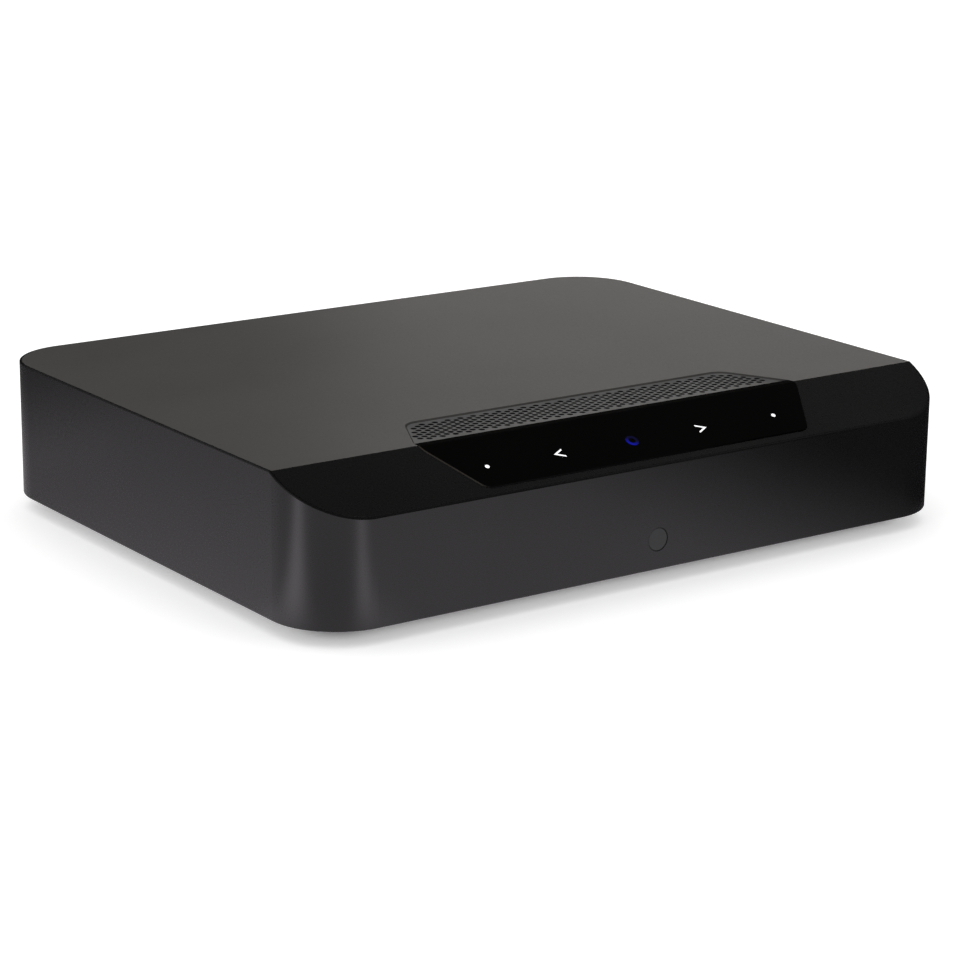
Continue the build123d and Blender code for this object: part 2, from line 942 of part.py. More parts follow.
def hdmi_tongue():
    z = board_top + hdmi_height / 2 + hdmi_wall / 2
    return socket_tongue(hdmi_place, hdmi_tongue_width, hdmi_tongue_height, hdmi_depth, z)


def usb_socket():
    return metal_socket(usb_place, usb_width, usb_height, usb_depth, usb_wall, 0)


def usb_tongue():
    z = board_top + usb_height - usb_wall - usb_tongue_height
    return socket_tongue(usb_place, usb_tongue_width, usb_tongue_height, usb_depth, z)


def analog_jack():
    z = board_top + jack_height / 2
    half = jack_width / 2
    case = block(
        (jack_place - half, jack_place + half),
        (panel_back - jack_depth, panel_back - fit_gap),
        (board_top, board_top + jack_height),
    )
    end = rear_y + jack_proud
    case += lying(jack_place, panel_back - jack_depth / 2, z, jack_barrel, end - panel_back + jack_depth / 2)
    return case - lying(jack_place, end - jack_bore_depth, z, jack_bore, jack_bore_depth)


def subwoofer_jack():
    z = board_top + sub_height / 2
    end = rear_y + sub_proud
    start = panel_back - sub_depth / 2
    barrel = lying(sub_place, start, z, sub_barrel, end - start)
    barrel += lying(sub_place, rear_y + fit_gap, z, sub_flange, sub_flange_thickness)
    return barrel - lying(sub_place, start, z, sub_inner, end - start)


def subwoofer_insulator():
    z = board_top + sub_height / 2
    half = sub_width / 2
    start = panel_back - sub_depth / 2
    case = block(
        (sub_place - half, sub_place + half),
        (panel_back - sub_depth, panel_back - fit_gap),
        (board_top, board_top + sub_height),
    )
    case -= lying(sub_place, start, z, sub_barrel + thread_gap, sub_depth)
    end = rear_y + sub_proud - sub_flange_thickness
    core = lying(sub_place, start, z, sub_inner - thread_gap, end - start)
    core -= lying(sub_place, end - sub_pin_depth, z, sub_pin_bore, sub_pin_depth)
    return case + core


# Speaker terminals
def block_limits(border_x, border_z):
    """X and Z limits around the knobs, with a border on each side."""
    grow_x = knob_radius + border_x
    grow_z = knob_radius + border_z
    return (min(post_xs) - grow_x, max(post_xs) + grow_x), (min(post_zs) - grow_z, max(post_zs) + grow_z)


def terminal_block():
    x, z = block_limits(block_border_x, block_border_z)
    plate = block(x, (rear_y, block_y), z)
    plate = fillet(plate.edges().filter_by(Axis.Y), block_corner)
    plate = chamfer(plate.faces().sort_by(Axis.Y)[-1].edges(), block_edge)
    x, z = block_limits(-block_inset, -block_inset)
    plate += block(x, (panel_back - block_depth, rear_y), z)
    hole = stud_radius + thread_gap
    return plate - [lying(px, panel_back - block_depth, pz, hole, overrun * 2) for px, pz in post_places]


def stud_tail(z):
    return low_stud_tail if z == post_low else high_stud_tail


def post_studs():
    studs = []
    end = post_end - stud_recess
    for x, z in post_places:
        start = panel_back - block_depth - stud_tail(z)
        stud = lying(x, start, z, stud_radius, end - start)
        stud -= lying(x, end - stud_bore_depth, z, stud_bore, stud_bore_depth)
        hole_y = block_y + thread_gap + wire_hole_radius
        stud -= standing(x, hole_y, z - stud_radius, wire_hole_radius, 2 * stud_radius)
        studs.append(stud)
    return studs


def post_nuts():
    nuts = []
    y = panel_back - block_depth
    for x, z in post_places:
        nut = Location((x, y, z), (90, 0, 0)) * extrude(RegularPolygon(nut_radius, nut_sides), nut_thickness)
        nuts.append(nut - lying(x, y - nut_thickness, z, stud_radius + thread_gap, nut_thickness))
    return nuts


def post_tags():
    """Flat copper tags from the stud ends down to the power board."""
    tags = []
    for x, z in post_places:
        y = panel_back - block_depth - stud_tail(z)
        half = tag_width / 2
        tag = block((x - half, x + half), (y - tag_thickness, y), (board_top, z))
        tags.append(tag + lying(x, y - tag_thickness, z, half, tag_thickness))
    return tags


def post_washer(x, z):
    washer = lying(x, block_y, z, washer_radius, washer_thickness)
    return washer - lying(x, block_y, z, stud_radius + running_gap, washer_thickness)


def post_knob(x, z):
    start = block_y + washer_thickness + knob_clear
    knob = lying(x, start, z, knob_radius, post_end - start)
    knob = fillet(knob.faces().sort_by(Axis.Y)[-1].edges(), knob_edge)
    length = post_end - start - 2 * knob_flute_margin
    for index in range(knob_flutes):
        angle = 2 * math.pi * index / knob_flutes
        groove_x = x + knob_radius * math.cos(angle)
        groove_z = z + knob_radius * math.sin(angle)
        knob -= lying(groove_x, start + knob_flute_margin, groove_z, knob_flute_radius, length)
    knob -= lying(x, start, z, stud_radius + running_gap, post_end - start)
    return knob - lying(x, post_end - knob_mouth_depth, z, knob_mouth, knob_mouth_depth)


# Main board and what it carries
def board(left, right):
    plate = block((left, right), (board_front, board_rear), (board_z, board_top))
    return plate - bosses(board_post_places, board_z, screw_shank + fit_gap, board_thickness)


def processor_shield():
    half_x = shield_width / 2
    half_y = shield_depth / 2
    can = block(
        (shield_x - half_x, shield_x + half_x),
        (shield_y - half_y, shield_y + half_y),
        (board_top, board_top + shield_height),
    )
    return fillet(can.edges().filter_by(Axis.Z), shield_corner)


def finned_cooler(x, y, z, wide, deep, count, fin_height):
    """A flat base with upright fins that run along Y."""
    cooler = block((x - wide / 2, x + wide / 2), (y - deep / 2, y + deep / 2), (z, z + cooler_base))
    step = (wide - cooler_fin_thickness) / (count - 1)
    fins = []
    for index in range(count):
        left = x - wide / 2 + index * step
        limits_z = (z + cooler_base, z + cooler_base + fin_height)
        fins.append(block((left, left + cooler_fin_thickness), (y - deep / 2, y + deep / 2), limits_z))
    return cooler + fins


def processor_heatsink():
    wide = shield_width - 2 * cooler_margin
    deep = shield_depth - 2 * cooler_margin
    z = board_top + shield_height
    return finned_cooler(shield_x, shield_y, z, wide, deep, cooler_fin_count, cooler_fin_height)


def wireless_module():
    half_x = wireless_width / 2
    half_y = wireless_depth / 2
    return block(
        (wireless_x - half_x, wireless_x + half_x),
        (wireless_y - half_y, wireless_y + half_y),
        (board_top, board_top + wireless_height),
    )


def audio_capacitors():
    cans = []
    for index in range(audio_cap_count):
        y = audio_cap_y - index * audio_cap_pitch
        cans.append(standing(audio_cap_x, y, board_top, audio_cap_radius, audio_cap_height))
    return cans


def aerials():
    plates = []
    inner = half_width - wall
    for side in (-1, 1):
        x = sorted((side * inner, side * (inner - aerial_thickness)))
        y = (aerial_y - aerial_length / 2, aerial_y + aerial_length / 2)
        plates.append(block(x, y, (aerial_z - aerial_height / 2, aerial_z + aerial_height / 2)))
    return plates


def round_wire(points, radii, radius):
    """A round wire along straight runs joined by arcs."""
    path = FilletPolyline(*points, radius=radii)
    start = path @ 0
    return sweep(Plane(origin=start, z_dir=path % 0) * Circle(radius), path=path)


def corner_radii(points):
    """An arc for each corner, as large as the shorter of its two runs allows."""
    spots = [Vector(*point) for point in points]
    radii = []
    for before, here, after in zip(spots, spots[1:], spots[2:]):
        turn = math.radians((here - before).get_angle(after - here))
        run = min((here - before).length, (after - here).length)
        radii.append(arc_share * run / math.tan(turn / 2))
    return radii


def aerial_leads():
    """Two thin leads from the wireless module to the aerials on the side walls."""
    z = board_top + wireless_height
    inner = half_width - wall - aerial_thickness
    right_x = wireless_x + wireless_width * lead_share
    left_x = wireless_x - wireless_width * lead_share
    right = [(right_x, wireless_y, z), (right_x, wireless_y, aerial_z), (inner, wireless_y, aerial_z)]
    crest = z + lead_rise
    front = board_front - lead_front
    left = [
        (left_x, wireless_y, z),
        (left_x, wireless_y, crest),
        (left_x - lead_turn, front, crest),
        (2 * lead_end - inner, front, crest),
        (lead_end - inner, aerial_y, aerial_z),
        (-inner, aerial_y, aerial_z),
    ]
    leads = []
    for points in (right, left):
        radii = corner_radii(points)
        leads.append(round_wire(points, radii, lead_radius))
    return leads


# Power board and what it carries
def mains_filter():
    """A common-mode choke and a film capacitor behind the mains inlet."""
    ring = standing(filter_x, filter_y, board_top, choke_radius, choke_height)
    ring -= standing(filter_x, filter_y, board_top, choke_bore, choke_height)
    ring = fillet(ring.faces().sort_by(Axis.Z)[-1].edges(), choke_bore / 2)
    film_y = filter_y - choke_radius - film_thickness
    film = block(
        (filter_x - film_width / 2, filter_x + film_width / 2),
        (film_y - film_thickness / 2, film_y + film_thickness / 2),
        (board_top, board_top + film_height),
    )
    return [ring, film]


def mains_fuse():
    z = board_top + fuse_lift
    x = fuse_x
    tube = lying(x, filter_y - fuse_length / 2, z, fuse_radius, fuse_length)
    for y in (filter_y - fuse_length / 2, filter_y + fuse_length / 2 - fuse_cap_length):
        half = fuse_radius / 2
        tube += block((x - half, x + half), (y, y + fuse_cap_length), (board_top, z))
    return tube


def bulk_capacitors():
    cans = []
    for index in range(bulk_count):
        can = standing(bulk_x, bulk_y + index * bulk_pitch, board_top, bulk_radius, bulk_height)
        cans.append(fillet(can.faces().sort_by(Axis.Z)[-1].edges(), bulk_edge))
    return cans


def transformer_core():
    half = transformer_width / 2
    deep = transformer_depth / 2
    top = board_top + transformer_height
    thin = core_width / 2
    legs = block(
        (transformer_x - half, transformer_x + half),
        (transformer_y - thin, transformer_y + thin),
        (board_top, top),
    )
    window = block(
        (transformer_x - half + thin, transformer_x + half - thin),
        (transformer_y - deep, transformer_y + deep),
        (board_top + thin, top - thin),
    )
    return legs - window


def transformer_winding():
    half = transformer_width / 2 - core_width / 2 - fit_gap
    deep = transformer_depth / 2
    low = board_top + core_width / 2 + fit_gap
    high = board_top + transformer_height - core_width / 2 - fit_gap
    coil = block(
        (transformer_x - half, transformer_x + half),
        (transformer_y - deep, transformer_y + deep),
        (low, high),
    )
    return fillet(coil.edges().filter_by(Axis.X), winding_edge)


def amplifier_chip():
    half = amplifier_side / 2
    return block(
        (amplifier_x - half, amplifier_x + half),
        (amplifier_y - half, amplifier_y + half),
        (board_top, board_top + amplifier_height),
    )


def amplifier_heatsink():
    z = board_top + amplifier_height
    wide = amplifier_cooler_width
    deep = amplifier_cooler_depth
    return finned_cooler(amplifier_x, amplifier_y, z, wide, deep, cooler_fin_count, cooler_fin_height)


def output_inductors():
    coils = []
    half = inductor_side / 2
    sides = [inductor_side] * len(post_places)
    for x in spread(inlet_place + inlet_width / 2, power_board_right, sides):
        coil = block(
            (x - half, x + half),
            (inductor_y - half, inductor_y + half),
            (board_top, board_top + inductor_height),
        )
        coils.append(chamfer(coil.edges().filter_by(Axis.Z), inductor_corner))
    return coils


# Wiring
def link_plugs():
    """A plug on each board for the wires between them."""
    left = power_board_right - link_inset
    right = main_board_left + link_inset
    plugs = []
    for x in (left, right):
        half = link_plug_width / 2
        y = (link_y - link_plug_length / 2, link_y + link_plug_length / 2)
        plugs.append(block((x - half, x + half), y, (board_top, board_top + link_plug_height)))
    return plugs


def link_wires():
    left = power_board_right - link_inset
    right = main_board_left + link_inset
    low = board_top + link_plug_height
    wires = []
    for index in range(link_wire_count):
        y = link_y + (index - (link_wire_count - 1) / 2) * link_wire_pitch
        points = [(left, y, low), (left, y, low + link_rise), (right, y, low + link_rise), (right, y, low)]
        wires.append(round_wire(points, corner_radii(points), link_wire_radius))
    return wires


def ribbon_route():
    """The ribbon's line in Y and Z, from the touch board to the main board."""
    start = slope_plane(skin + touch_board_thickness + ribbon_plug_height)
    y = start.origin.Y + 2 * ribbon_plug_depth
    z = slope_z(y, skin + touch_board_thickness + ribbon_plug_height / 2)
    end_y = board_front + ribbon_plug_run
    end_z = board_top + ribbon_plug_height / 2
    return (y, z), (end_y, end_z)


def ribbon_cable():
    (y, z), (end_y, end_z) = ribbon_route()
    points = [(y, z), (y + ribbon_level, z), (end_y - ribbon_level, end_z), (end_y, end_z)]
    line = Plane.YZ * FilletPolyline(*points, radius=ribbon_radius)
    start = Plane(origin=line @ 0, x_dir=(1, 0, 0), z_dir=line % 0)
    strip = start * Rectangle(ribbon_width, ribbon_thickness)
    return Pos(ribbon_x, 0, 0) * sweep(strip, path=line)


def ribbon_plugs():
    (y, z), (end_y, end_z) = ribbon_route()
    half = ribbon_width / 2 + ribbon_thickness * 2
    upper = block((ribbon_x - half, ribbon_x + half), (y - ribbon_plug_depth, y), (base_z, top_z))
    upper = layer(upper, skin + touch_board_thickness, skin + touch_board_thickness + ribbon_plug_height)
    lower = block(
        (ribbon_x - half, ribbon_x + half),
        (end_y, end_y + ribbon_plug_depth),
        (board_top, board_top + ribbon_plug_height),
    )
    return [upper, lower]


save("housing_shell", housing_shell())
save("top_panel", top_panel())
save("sloped_bezel", sloped_bezel())
save("touch_cover", touch_cover())
save("mesh_grille", mesh_grille())
save("grille_tray", grille_tray())
save("touch_icons", *touch_icons())
save("status_light_ring", status_light_ring())
save("touch_board", touch_board())
save("touch_lights", *touch_lights())
save("ir_window", ir_window())
save("ir_receiver", ir_receiver(), ir_board())
save("base_plate", base_plate())
save("base_screws", *base_screws())
save("rubber_feet", *rubber_feet())
save("wall_mount_inserts", *wall_mount_inserts())
save("insulation_sheet", insulation_sheet())
save("rear_panel", rear_panel())
save("rear_panel_screws", *rear_panel_screws())
save("mains_inlet", mains_inlet())
save("mains_pins", *mains_pins())
save("ethernet_jack", ethernet_jack())
save("ethernet_contacts", *ethernet_contacts())
save("hdmi_socket", hdmi_socket())
save("usb_socket", usb_socket())
save("socket_tongues", hdmi_tongue(), usb_tongue())
save("analog_jack", analog_jack())
save("subwoofer_jack", subwoofer_jack())
save("subwoofer_insulator", subwoofer_insulator())
save("terminal_block", terminal_block())
save("post_studs", *post_studs())
save("post_nuts", *post_nuts())
save("post_tags", *post_tags())
for number, (x, z) in enumerate(post_places, 1):
    save(f"post_washer_{number}", post_washer(x, z))
    save(f"post_knob_{number}", post_knob(x, z))
save("main_board", board(main_board_left, main_board_right))
save("power_board", board(power_board_left, power_board_right))
save("board_screws", *board_screws())
save("processor_shield", processor_shield())
save("processor_heatsink", processor_heatsink())
save("wireless_module", wireless_module())
save("aerials", *aerials())
save("aerial_leads", *aerial_leads())
save("mains_filter", *mains_filter())
save("mains_fuse", mains_fuse())
save("capacitors", *bulk_capacitors(), *audio_capacitors())
save("transformer_core", transformer_core())
save("transformer_winding", transformer_winding())
save("amplifier_chip", amplifier_chip())
save("amplifier_heatsink", amplifier_heatsink())
save("output_inductors", *output_inductors())
save("board_plugs", *link_plugs(), *ribbon_plugs())
save("link_wires", *link_wires())
save("ribbon_cable", ribbon_cable())
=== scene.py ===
import json
import math

import bmesh
import bpy
from mathutils import Matrix, Vector


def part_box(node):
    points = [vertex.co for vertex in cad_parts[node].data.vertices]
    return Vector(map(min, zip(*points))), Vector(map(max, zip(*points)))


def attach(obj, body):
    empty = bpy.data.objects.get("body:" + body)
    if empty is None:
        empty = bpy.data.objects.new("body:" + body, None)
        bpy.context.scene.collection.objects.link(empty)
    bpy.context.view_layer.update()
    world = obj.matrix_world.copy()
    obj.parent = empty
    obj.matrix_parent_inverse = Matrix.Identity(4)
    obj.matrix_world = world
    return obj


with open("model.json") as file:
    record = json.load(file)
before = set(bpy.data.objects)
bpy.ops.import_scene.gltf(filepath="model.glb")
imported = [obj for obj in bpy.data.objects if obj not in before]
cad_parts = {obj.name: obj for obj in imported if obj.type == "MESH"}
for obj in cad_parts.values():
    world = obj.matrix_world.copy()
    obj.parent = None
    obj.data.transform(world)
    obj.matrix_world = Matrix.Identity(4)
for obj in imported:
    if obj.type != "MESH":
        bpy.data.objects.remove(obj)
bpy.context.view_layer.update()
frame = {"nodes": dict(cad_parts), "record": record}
nodes = frame["nodes"]

# Sizes in metres unless a comment says otherwise, in the frame of the CAD model.
# +X runs to the right along the front, +Y towards the rear, +Z up.

# Camera, found from the edges of the body in the photograph.
# Its angles are in degrees, and its lens and sensor in millimetres.
camera_azimuth = -35.456
camera_elevation = 15.726
camera_roll = 0.607
camera_distance = 0.855818
camera_right = 0.002073
camera_up = -0.01443
camera_lens = 110.27
camera_sensor = 36.0
camera_reach = 20.0
body_centre = Vector((0.0, -0.010, 0.02425))

# Sky, as the light it gives and as glossy faces see it
sky_strength = 1.0
sky_mirrored = 0.020

# Floor
floor_size = 6.0
floor_mottle = 0.4
floor_dark = 0.96
floor_light = 0.97
floor_rough = 0.9

# Light that the floor itself gives, by the distance from the outline of the body, negative inside it:
# even outside, gone under the body, and a little more just inside the outline
floor_lift = 0.26
lift_gone = -0.019
lift_full = -0.007
under_lift = 0.108
under_place = -0.006
under_half = 0.009

# Radius of that outline's corners
corner_radius = 0.0195

# Brightness of the floor as glossy faces see it, and the places in X or Y between which it changes
floor_mirrored = 0.64
left_mirrored = 0.57
left_change = (-0.13, -0.09)
right_share = 0.02
right_change = (0.030, 0.125)
front_and_rear_share = (1.25, 0.75)
front_to_rear = (-0.10, 0.08)
back_share = 0.25
back_change = (0.12, 0.22)
mirrored_tint = (1.0, 0.95, 1.0, 1.0)

# Two brighter strips of that floor, which draw the bands of light on the left front corner
left_strip_mirrored = 1.6
left_strip_y = -0.078
left_strip_half = 0.030
left_strip_change = (-0.15, -0.11)
front_strip_mirrored = 1.25
front_strip_x = -0.086
front_strip_half = 0.021
front_strip_change = (-0.14, -0.10)

# Range that a noise seldom leaves
noise_low = 0.3
noise_high = 0.7

# Painted highlight on the left-facing edge of the cover, standing in for light from the left: how much
# paler and how rough it is, and the range over which it fades out as the surface faces less to the left
left_edge_painted_highlight = 50.0
left_edge_highlight_rough = 0.5
left_edge_highlight_facing = (-0.9, -0.5)

# Status light, whose lit part leans towards the left end, and ends behind the middle of the ring
# by a share of its radius
light_lean = 0.774
lit_share = 0.25

# Painted shade on the walls of the grille's holes, where little light reaches: how dark they are beside the
# face of the sheet, and the range between them and the face as the surface faces more upwards
hole_wall_painted_shade = 0.06
hole_shade_facing = (0.3, 0.8)

# Tracks on the circuit boards, which run along the edges of cells: cells in a metre,
# and half the width of a track at its top and at its foot, as shares of a cell
track_cells = 240.0
track_half_shares = (0.06, 0.10)

# Raised plus or minus beside each knob of the speaker posts
post_numbers = (1, 2, 3, 4)
mark_arm = 0.0010
mark_half = 0.00022
mark_height = 0.00012
mark_away = 0.0018

# Bush in the mouth of each knob, with its ends measured from the end of the knob
bush_inner = 0.00312
bush_outer = 0.00396
bush_back = 0.003
bush_front = 0.0012
bush_edge = 0.0002
bush_sides = 64

# Light windows in the network jack
window_wide = 0.0030
window_tall = 0.0016
window_edge = 0.0006
window_depth = 0.0003
window_round = 0.0003
window_steps = 5


# Node materials
def start_material(name):
    material = bpy.data.materials.new(name)
    material.use_nodes = True
    tree = material.node_tree
    return material, tree, tree.nodes["Principled BSDF"]


def axes(tree, vector):
    """The three outputs X, Y and Z of a vector."""
    split = tree.nodes.new("ShaderNodeSeparateXYZ")
    tree.links.new(vector, split.inputs["Vector"])
    return split.outputs


def object_coordinates(tree, stretch=(1, 1, 1)):
    """Object coordinates, squeezed along any axis where the pattern is to run longer."""
    source = tree.nodes.new("ShaderNodeTexCoord")
    mapping = tree.nodes.new("ShaderNodeMapping")
    mapping.inputs["Scale"].default_value = stretch
    tree.links.new(source.outputs["Object"], mapping.inputs["Vector"])
    return mapping.outputs["Vector"]


def noise(tree, where, size, detail=3.0, rough=0.5):
    """Noise whose blobs are about as large as the size."""
    node = tree.nodes.new("ShaderNodeTexNoise")
    node.inputs["Scale"].default_value = 1.0 / size
    node.inputs["Detail"].default_value = detail
    node.inputs["Roughness"].default_value = rough
    tree.links.new(where, node.inputs["Vector"])
    return node.outputs["Fac"]


def ramp(tree, factor, stops):
    """A colour ramp through pairs of position and colour."""
    node = tree.nodes.new("ShaderNodeValToRGB")
    elements = node.color_ramp.elements
    while len(elements) < len(stops):
        elements.new(0.5)
    for element, (position, colour) in zip(elements, stops):
        element.position = position
        element.color = (*colour, 1.0)
    tree.links.new(factor, node.inputs["Fac"])
    return node.outputs["Color"]


def mottled(tree, factor, dark, light):
    """Two colours blended over the range that a noise keeps to."""
    return ramp(tree, factor, [(noise_low, dark), (noise_high, light)])


def spread(tree, factor, low, high, start=noise_low, end=noise_high, curve="LINEAR"):
    """A value that runs from low to high as the factor runs from start to end."""
    node = tree.nodes.new("ShaderNodeMapRange")
    node.interpolation_type = curve
    node.inputs["From Min"].default_value = start
    node.inputs["From Max"].default_value = end
    node.inputs["To Min"].default_value = low
    node.inputs["To Max"].default_value = high
    tree.links.new(factor, node.inputs["Value"])
    return node.outputs["Result"]


def combined(tree, operation, first, second=0.0):
    """A sum or other operation on one or two values, each a number or the output of a node."""
    node = tree.nodes.new("ShaderNodeMath")
    node.operation = operation
    for socket, value in zip(node.inputs, (first, second)):
        if isinstance(value, (int, float)):
            socket.default_value = value
        else:
            tree.links.new(value, socket)
    return node.outputs["Value"]


def facing(tree, axis):
    """How far the surface faces along an axis of the piece, from -1 to 1."""
    source = tree.nodes.new("ShaderNodeTexCoord")
    return axes(tree, source.outputs["Normal"])[axis]


def scaled(tree, colour, factor):
    """A colour made lighter or darker by a factor."""
    node = tree.nodes.new("ShaderNodeVectorMath")
    node.operation = "SCALE"
    tree.links.new(colour, node.inputs[0])
    tree.links.new(factor, node.inputs["Scale"])
    return node.outputs["Vector"]


def relief(tree, shader, height, depth):
    """Bump whose full height is the depth."""
    node = tree.nodes.new("ShaderNodeBump")
    node.inputs["Strength"].default_value = 1.0
    node.inputs["Distance"].default_value = depth
    tree.links.new(height, node.inputs["Height"])
    tree.links.new(node.outputs["Normal"], shader.inputs["Normal"])


def bands(tree, where, direction, width, distortion=0.0):
    """Light and dark bands in turn along an axis, each about as wide as the width."""
    node = tree.nodes.new("ShaderNodeTexWave")
    node.wave_type = "BANDS"
    node.bands_direction = direction
    node.inputs["Scale"].default_value = 1.0 / (width * 2 * math.pi)
    node.inputs["Distortion"].default_value = distortion
    tree.links.new(where, node.inputs["Vector"])
    return node.outputs["Fac"]


def surface(name, dark, light, rough, mottle, grain, depth,
            metallic=0.0, stretch=(1, 1, 1), specular=0.5):
    """Colour that drifts over a mottle size, with uneven gloss and a fine grain in relief."""
    material, tree, shader = start_material(name)
    where = object_coordinates(tree, stretch)
    wide = noise(tree, where, size=mottle, detail=2.0)
    fine = noise(tree, where, size=grain, detail=4.0, rough=0.6)
    tree.links.new(mottled(tree, wide, dark, light), shader.inputs["Base Color"])
    tree.links.new(spread(tree, fine, *rough), shader.inputs["Roughness"])
    relief(tree, shader, fine, depth)
    shader.inputs["Metallic"].default_value = metallic
    shader.inputs["Specular IOR Level"].default_value = specular
    return material


def housing_plastic():
    """Moulded black plastic with a fine satin erosion texture."""
    return surface("satin_black_plastic",
                   dark=(0.0036, 0.0034, 0.0038), light=(0.0050, 0.0047, 0.0052),
                   rough=(0.24, 0.29), mottle=0.030, grain=0.00035, depth=0.000002)


def top_paint():
    """Satin warm grey paint with a faint orange peel."""
    return surface("satin_grey_paint",
                   dark=(0.0700, 0.0670, 0.0635), light=(0.0770, 0.0740, 0.0700),
                   rough=(0.40, 0.46), mottle=0.045, grain=0.0006, depth=0.000005)


def bezel_plastic():
    return surface("half_gloss_black",
                   dark=(0.0050, 0.0049, 0.0049), light=(0.0062, 0.0061, 0.0061),
                   rough=(0.24, 0.30), mottle=0.035, grain=0.0016, depth=0.0000008)


def cover_glass():
    """Deep gloss black with the faintest smears, and a painted highlight, paler and rougher, on its
    left-facing edge.
    """
    material, tree, shader = start_material("deep_gloss_black")
    where = object_coordinates(tree)
    wide = noise(tree, where, size=0.03)
    fine = noise(tree, where, size=0.004, detail=4.0)
    colour = mottled(tree, wide, dark=(0.0008, 0.0007, 0.0006), light=(0.0011, 0.0010, 0.0009))
    # Painted highlight: faces turned to the left get a paler colour, standing in for light falling from the
    # left
    edge = facing(tree, "X")
    paler = spread(tree, edge, left_edge_painted_highlight, 1.0, *left_edge_highlight_facing)
    tree.links.new(scaled(tree, colour, paler), shader.inputs["Base Color"])
    smooth = spread(tree, wide, low=0.05, high=0.09)
    rough = spread(tree, edge, left_edge_highlight_rough, 0.0, *left_edge_highlight_facing)
    tree.links.new(combined(tree, "MAXIMUM", smooth, rough), shader.inputs["Roughness"])
    relief(tree, shader, fine, depth=0.0000012)
    shader.inputs["Specular IOR Level"].default_value = 0.05
    return material


def lit_print():
    """White print with light behind it, a little uneven at its edges."""
    material, tree, shader = start_material("lit_white_print")
    where = object_coordinates(tree)
    fine = noise(tree, where, size=0.0004)
    colour = mottled(tree, fine, dark=(0.82, 0.83, 0.85), light=(0.92, 0.92, 0.93))
    tree.links.new(colour, shader.inputs["Base Color"])
    tree.links.new(colour, shader.inputs["Emission Color"])
    tree.links.new(spread(tree, fine, low=0.42, high=0.50), shader.inputs["Emission Strength"])
    tree.links.new(spread(tree, fine, low=0.35, high=0.5), shader.inputs["Roughness"])
    return material


def status_light():
    """A blue ring that is brightest at its left front and fades out behind the middle."""
    material, tree, shader = start_material("blue_light_ring")
    low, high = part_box("status_light_ring")
    middle = (low + high) / 2
    reach = (high.y - low.y) / 2
    source = tree.nodes.new("ShaderNodeTexCoord")
    place = axes(tree, source.outputs["Object"])
    along = combined(tree, "ADD", combined(tree, "MULTIPLY", place["X"], light_lean), place["Y"])
    centre = light_lean * middle.x + middle.y
    lit = spread(tree, along, 1.0, 0.0, centre - reach, centre + lit_share * reach)
    fine = noise(tree, source.outputs["Object"], size=0.0005, detail=2.0)
    colour = ramp(tree, lit, [(0.0, (0.003, 0.003, 0.008)), (1.0, (0.004, 0.004, 0.03))])
    glow = ramp(tree, lit, [
        (0.0, (0.0002, 0.0002, 0.016)),
        (0.45, (0.0006, 0.0008, 0.12)),
        (1.0, (0.0012, 0.0040, 0.25)),
    ])
    tree.links.new(colour, shader.inputs["Base Color"])
    tree.links.new(glow, shader.inputs["Emission Color"])
    shader.inputs["Emission Strength"].default_value = 1.0
    tree.links.new(spread(tree, fine, low=0.12, high=0.2), shader.inputs["Roughness"])
    shader.inputs["Specular IOR Level"].default_value = 0.1
    return material


def grille_paint():
    """Grey paint on the face of the sheet, with painted shade darkening the walls of its holes."""
    material = surface("painted_mesh",
                       dark=(0.105, 0.104, 0.103), light=(0.135, 0.134, 0.132),
                       rough=(0.42, 0.54), mottle=0.012, grain=0.00022, depth=0.00001, metallic=0.15)
    tree = material.node_tree
    colour = tree.nodes["Principled BSDF"].inputs["Base Color"]
    paint = colour.links[0].from_socket
    # Painted shade: faces that turn away from up, the walls of the holes, are darkened
    darker = spread(tree, facing(tree, "Z"), hole_wall_painted_shade, 1.0, *hole_shade_facing)
    tree.links.new(scaled(tree, paint, darker), colour)
    return material


def plain_plastic():
    return surface("moulded_black",
                   dark=(0.010, 0.010, 0.0105), light=(0.016, 0.016, 0.0165),
                   rough=(0.42, 0.58), mottle=0.02, grain=0.0003, depth=0.00002)


def powder_coat():
    return surface("black_powder_coat",
                   dark=(0.014, 0.014, 0.0145), light=(0.021, 0.021, 0.022),
                   rough=(0.42, 0.62), mottle=0.025, grain=0.00045, depth=0.00003, metallic=0.1)


def infrared_lens():
    return surface("dark_infrared_lens",
                   dark=(0.0070, 0.0092, 0.0088), light=(0.0090, 0.0112, 0.0108),
                   rough=(0.04, 0.08), mottle=0.004, grain=0.002, depth=0.000002)


def soft_rubber():
    return surface("soft_rubber",
                   dark=(0.010, 0.010, 0.010), light=(0.017, 0.017, 0.017),
                   rough=(0.70, 0.88), mottle=0.006, grain=0.0002, depth=0.00003, specular=0.3)


def black_oxide():
    return surface("black_oxide_steel",
                   dark=(0.045, 0.045, 0.048), light=(0.085, 0.085, 0.09),
                   rough=(0.28, 0.42), mottle=0.0015, grain=0.00015, depth=0.00001, metallic=1.0)


def nickel_plate():
    return surface("nickel_plate",
                   dark=(0.55, 0.53, 0.50), light=(0.66, 0.64, 0.61),
                   rough=(0.16, 0.30), mottle=0.004, grain=0.0003, depth=0.000004,
                   metallic=1.0, stretch=(3, 1, 3))


